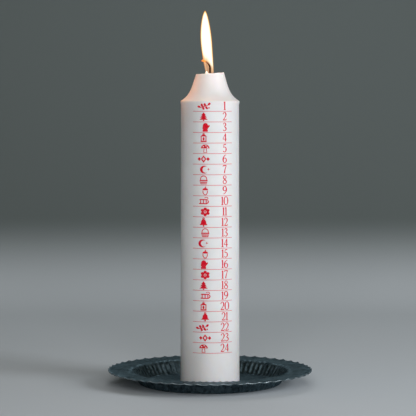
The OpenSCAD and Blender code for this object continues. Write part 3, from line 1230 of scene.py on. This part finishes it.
plate = {
    "radius": 87.59 * mm,
    "rimHeight": 12.2 * mm,
    "sheet": 0.8 * mm,
    "foot": 58 * mm,
    "floorBend": 3 * mm,
    "wallSlope": 58,
    "brimBend": 6 * mm,
    "brimSlope": 2,
    "flutes": 78,
    "fluteHeight": 0.9 * mm,
    "fluteFade": 0.5,
    "fadePower": 2.4,
    "ridge": 1.7,
    "lobes": 52,
    "lobeHeight": 0.9 * mm,
    "scallop": 0.5 * mm,
    "lobePower": 0.8,
    "uneven": 0.3,
    "unevenPace": 9,
    "sag": 0.12 * mm,
    "sagPace": 14,
    "edgeRound": 0.22 * mm,
    "around": 936,
}


def sheetLine():
    # the middle of the sheet as (radius, height, slope)
    p = plate
    foot, wall, brim = p["foot"], math.radians(p["wallSlope"]), math.radians(p["brimSlope"])
    mid = p["sheet"] / 2
    line = [(r, mid, 0) for r in (0, 18 * mm, 36 * mm, 50 * mm)]
    for a in steps(0, wall, 6):
        line.append((foot + p["floorBend"] * math.sin(a),
                     mid + p["floorBend"] * (1 - math.cos(a)), a))
    wallFoot = line[-1]
    reach = p["brimBend"] * (math.sin(wall) - math.sin(brim))
    rise = p["brimBend"] * (math.cos(brim) - math.cos(wall))
    reachLeft = p["radius"] - wallFoot[0] - reach
    riseLeft = p["rimHeight"] - wallFoot[1] - rise
    length = (riseLeft * math.cos(brim) - reachLeft * math.sin(brim)) / math.sin(wall - brim)
    for share in (0.25, 0.5, 0.75):
        line.append((wallFoot[0] + share * length * math.cos(wall),
                     wallFoot[1] + share * length * math.sin(wall), wall))
    wallTop = (wallFoot[0] + length * math.cos(wall), wallFoot[1] + length * math.sin(wall))
    for a in steps(wall, brim, 8):
        line.append((wallTop[0] + p["brimBend"] * (math.sin(wall) - math.sin(a)),
                     wallTop[1] + p["brimBend"] * (math.cos(a) - math.cos(wall)), a))
    brimStart = line[-1]
    for share in steps(0, 1, 9)[1:]:
        line.append((mixed(brimStart[0], p["radius"], share),
                     mixed(brimStart[1], p["rimHeight"], share), brim))
    return line, wallTop[0], brimStart[0]


def makePlate():
    p = plate
    line, wallTop, brimStart = sheetLine()
    fluteEnd = mixed(brimStart, p["radius"], p["fluteFade"])
    dish = turned("plateSheet", [(r, z) for r, z, a in line], p["around"], closed=False)
    slopes = sorted((r, a) for r, z, a in line)
    for vertex in dish.data.vertices:
        x, y, z = vertex.co
        r = math.hypot(x, y)
        if r <= p["foot"] + 0.01 * mm:
            continue
        a = min(slopes, key=lambda s: abs(s[0] - r))[1]
        turn = math.atan2(y, x)
        ring = Vector((math.cos(turn), math.sin(turn), 0))
        # no two flutes are pressed quite alike
        uneven = 1 + p["uneven"] * noise.noise(ring * p["unevenPace"] + Vector((0, 0, 3.1)))
        fluted = min(1, ((r - p["foot"]) / p["floorBend"]) ** 2,
                     max(0, (fluteEnd - r) / (fluteEnd - wallTop)) ** p["fadePower"])
        lobed = max(0, (r - wallTop) / (p["radius"] - wallTop)) ** 2
        lobe = (1 - 2 * abs(math.sin(p["lobes"] * turn / 2)) ** p["lobePower"]) * lobed * uneven
        # the flutes are wide valleys between narrow ridges
        wave = 2 * ((1 + math.cos(p["flutes"] * turn)) / 2) ** p["ridge"] - 1
        lift = wave * p["fluteHeight"] / 2 * fluted * uneven
        lift += lobe * p["lobeHeight"] / 2
        sag = p["sag"] * noise.noise(Vector((x, y, 0)) * p["sagPace"]) * lobed
        r += lobe * p["scallop"] / 2 - lift * math.sin(a)
        vertex.co = (r * math.cos(turn), r * math.sin(turn), z + lift * math.cos(a) + sag)
    tidyNormals(dish)
    thicken = dish.modifiers.new("thicken", "SOLIDIFY")
    thicken.thickness = p["sheet"]
    thicken.offset = 0
    thicken.use_even_offset = True
    soften = dish.modifiers.new("soften", "BEVEL")
    soften.width = p["edgeRound"]
    soften.segments = 2
    soften.limit_method = "ANGLE"
    soften.angle_limit = math.radians(60)
    applyAll(dish)
    smooth(dish, 50)
    return settle(dish, "fluted_plate", zincSheet, "plate", "zinc_sheet", "plate")


makePlate()
print("plate made")


# Floor, backdrop and light

studio = {
    "floor": (0.68, 0.74, 0.79, 1),
    "wall": (0.17, 0.20, 0.20, 1),
    "wallFrom": 0.005,
    "wallTo": 0.09,
    "floorSize": 6,
    "floorMiddle": (0, -1.8, -0.05 * mm),
    "wallHeight": 3,
    "corner": 0.7,
    "sky": (1.0, 0.95, 0.74, 1),
    "skyStrength": 0.085,
}

softLamps = {
    "keyLight": {"place": (1.35, -0.8, 0.62), "aim": (0, 0, 0.14), "size": 0.7, "power": 14.2,
                 "colour": (0.97, 0.98, 1.0)},
    "frontLight": {"place": (0.05, -1.6, 0.58), "aim": (0, 0, 0.14), "size": 1.0, "power": 11.8,
                   "colour": (1.0, 0.98, 0.98)},
    "backLight": {"place": (0, 1.0, 1.05), "aim": (0, 0, 0.12), "size": 0.8, "power": 2.2,
                  "colour": (0.97, 0.98, 1.0)},
}

# the flame's own light, and more of it on the side to which it leans
halfway = flame["foot"] + flame["height"] / 2
flameLamps = {
    "flameLight": {"place": (flameDrift(halfway), 0, halfway), "power": 0.05,
                   "colour": (1.0, 0.7, 0.5)},
    "leaningLight": {"place": (-38 * mm, -8 * mm, flame["foot"] - 4 * mm), "power": 0.012,
                     "colour": (1.0, 0.34, 0.12)},
}


def sweepMaterial():
    # clear from behind and below, so that the candle is seen from every side
    material, tree, shader = newMaterial("paleSweep")
    rise = groupNode(tree, heightFade, From=studio["wallFrom"], To=studio["wallTo"])
    side = tree.nodes.new("ShaderNodeNewGeometry")
    colour = blendNode(tree, rise.outputs["Mask"], studio["floor"], studio["wall"])
    setInputs(shader, Base_Color=colour, Roughness=1.0, Specular_IOR_Level=0.0,
              Alpha=mathNode(tree, "SUBTRACT", 1.0, side.outputs["Backfacing"]))
    return material


def makeSweep():
    bpy.ops.object.select_all(action="DESELECT")
    bpy.ops.mesh.primitive_plane_add(size=studio["floorSize"], location=studio["floorMiddle"])
    sweep = bpy.context.object
    bpy.ops.object.transform_apply(location=True)
    far = max(v.co.y for v in sweep.data.vertices)
    editing(sweep)
    bpy.ops.mesh.select_mode(type="EDGE")
    bpy.ops.mesh.select_all(action="DESELECT")
    doneEditing()
    for edge in sweep.data.edges:
        edge.select = all(sweep.data.vertices[v].co.y > far - mm for v in edge.vertices)
    bpy.ops.object.mode_set(mode="EDIT")
    bpy.ops.mesh.extrude_region_move(TRANSFORM_OT_translate={"value": (0, 0, studio["wallHeight"])})
    doneEditing()
    corner = sweep.modifiers.new("corner", "BEVEL")
    corner.width = studio["corner"]
    corner.segments = 24
    applyAll(sweep)
    smooth(sweep, 60)
    sweep.name = "sweep"
    sweep.data.materials.append(sweepMaterial())


def addLamp(kind, name, lamp):
    bpy.ops.object.light_add(type=kind, location=lamp["place"])
    light = bpy.context.object
    light.name = name
    light.data.energy = lamp["power"]
    light.data.color = lamp["colour"]
    return light


def lightStudio():
    for name, lamp in softLamps.items():
        light = addLamp("AREA", name, lamp)
        light.data.size = lamp["size"]
        towards = Vector(lamp["aim"]) - Vector(lamp["place"])
        light.rotation_euler = towards.to_track_quat("-Z", "Y").to_euler()
    for name, lamp in flameLamps.items():
        # these rise with the candle
        light = addLamp("POINT", name, lamp)
        light.data.shadow_soft_size = 5 * mm
        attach(light, "candle")
    world = bpy.data.worlds.new("softSky")
    bpy.context.scene.world = world
    world.use_nodes = True
    setInputs(world.node_tree.nodes["Background"], Color=studio["sky"],
              Strength=studio["skyStrength"])


makeSweep()
lightStudio()
bpy.context.scene.view_settings.view_transform = "Standard"
print("studio made")
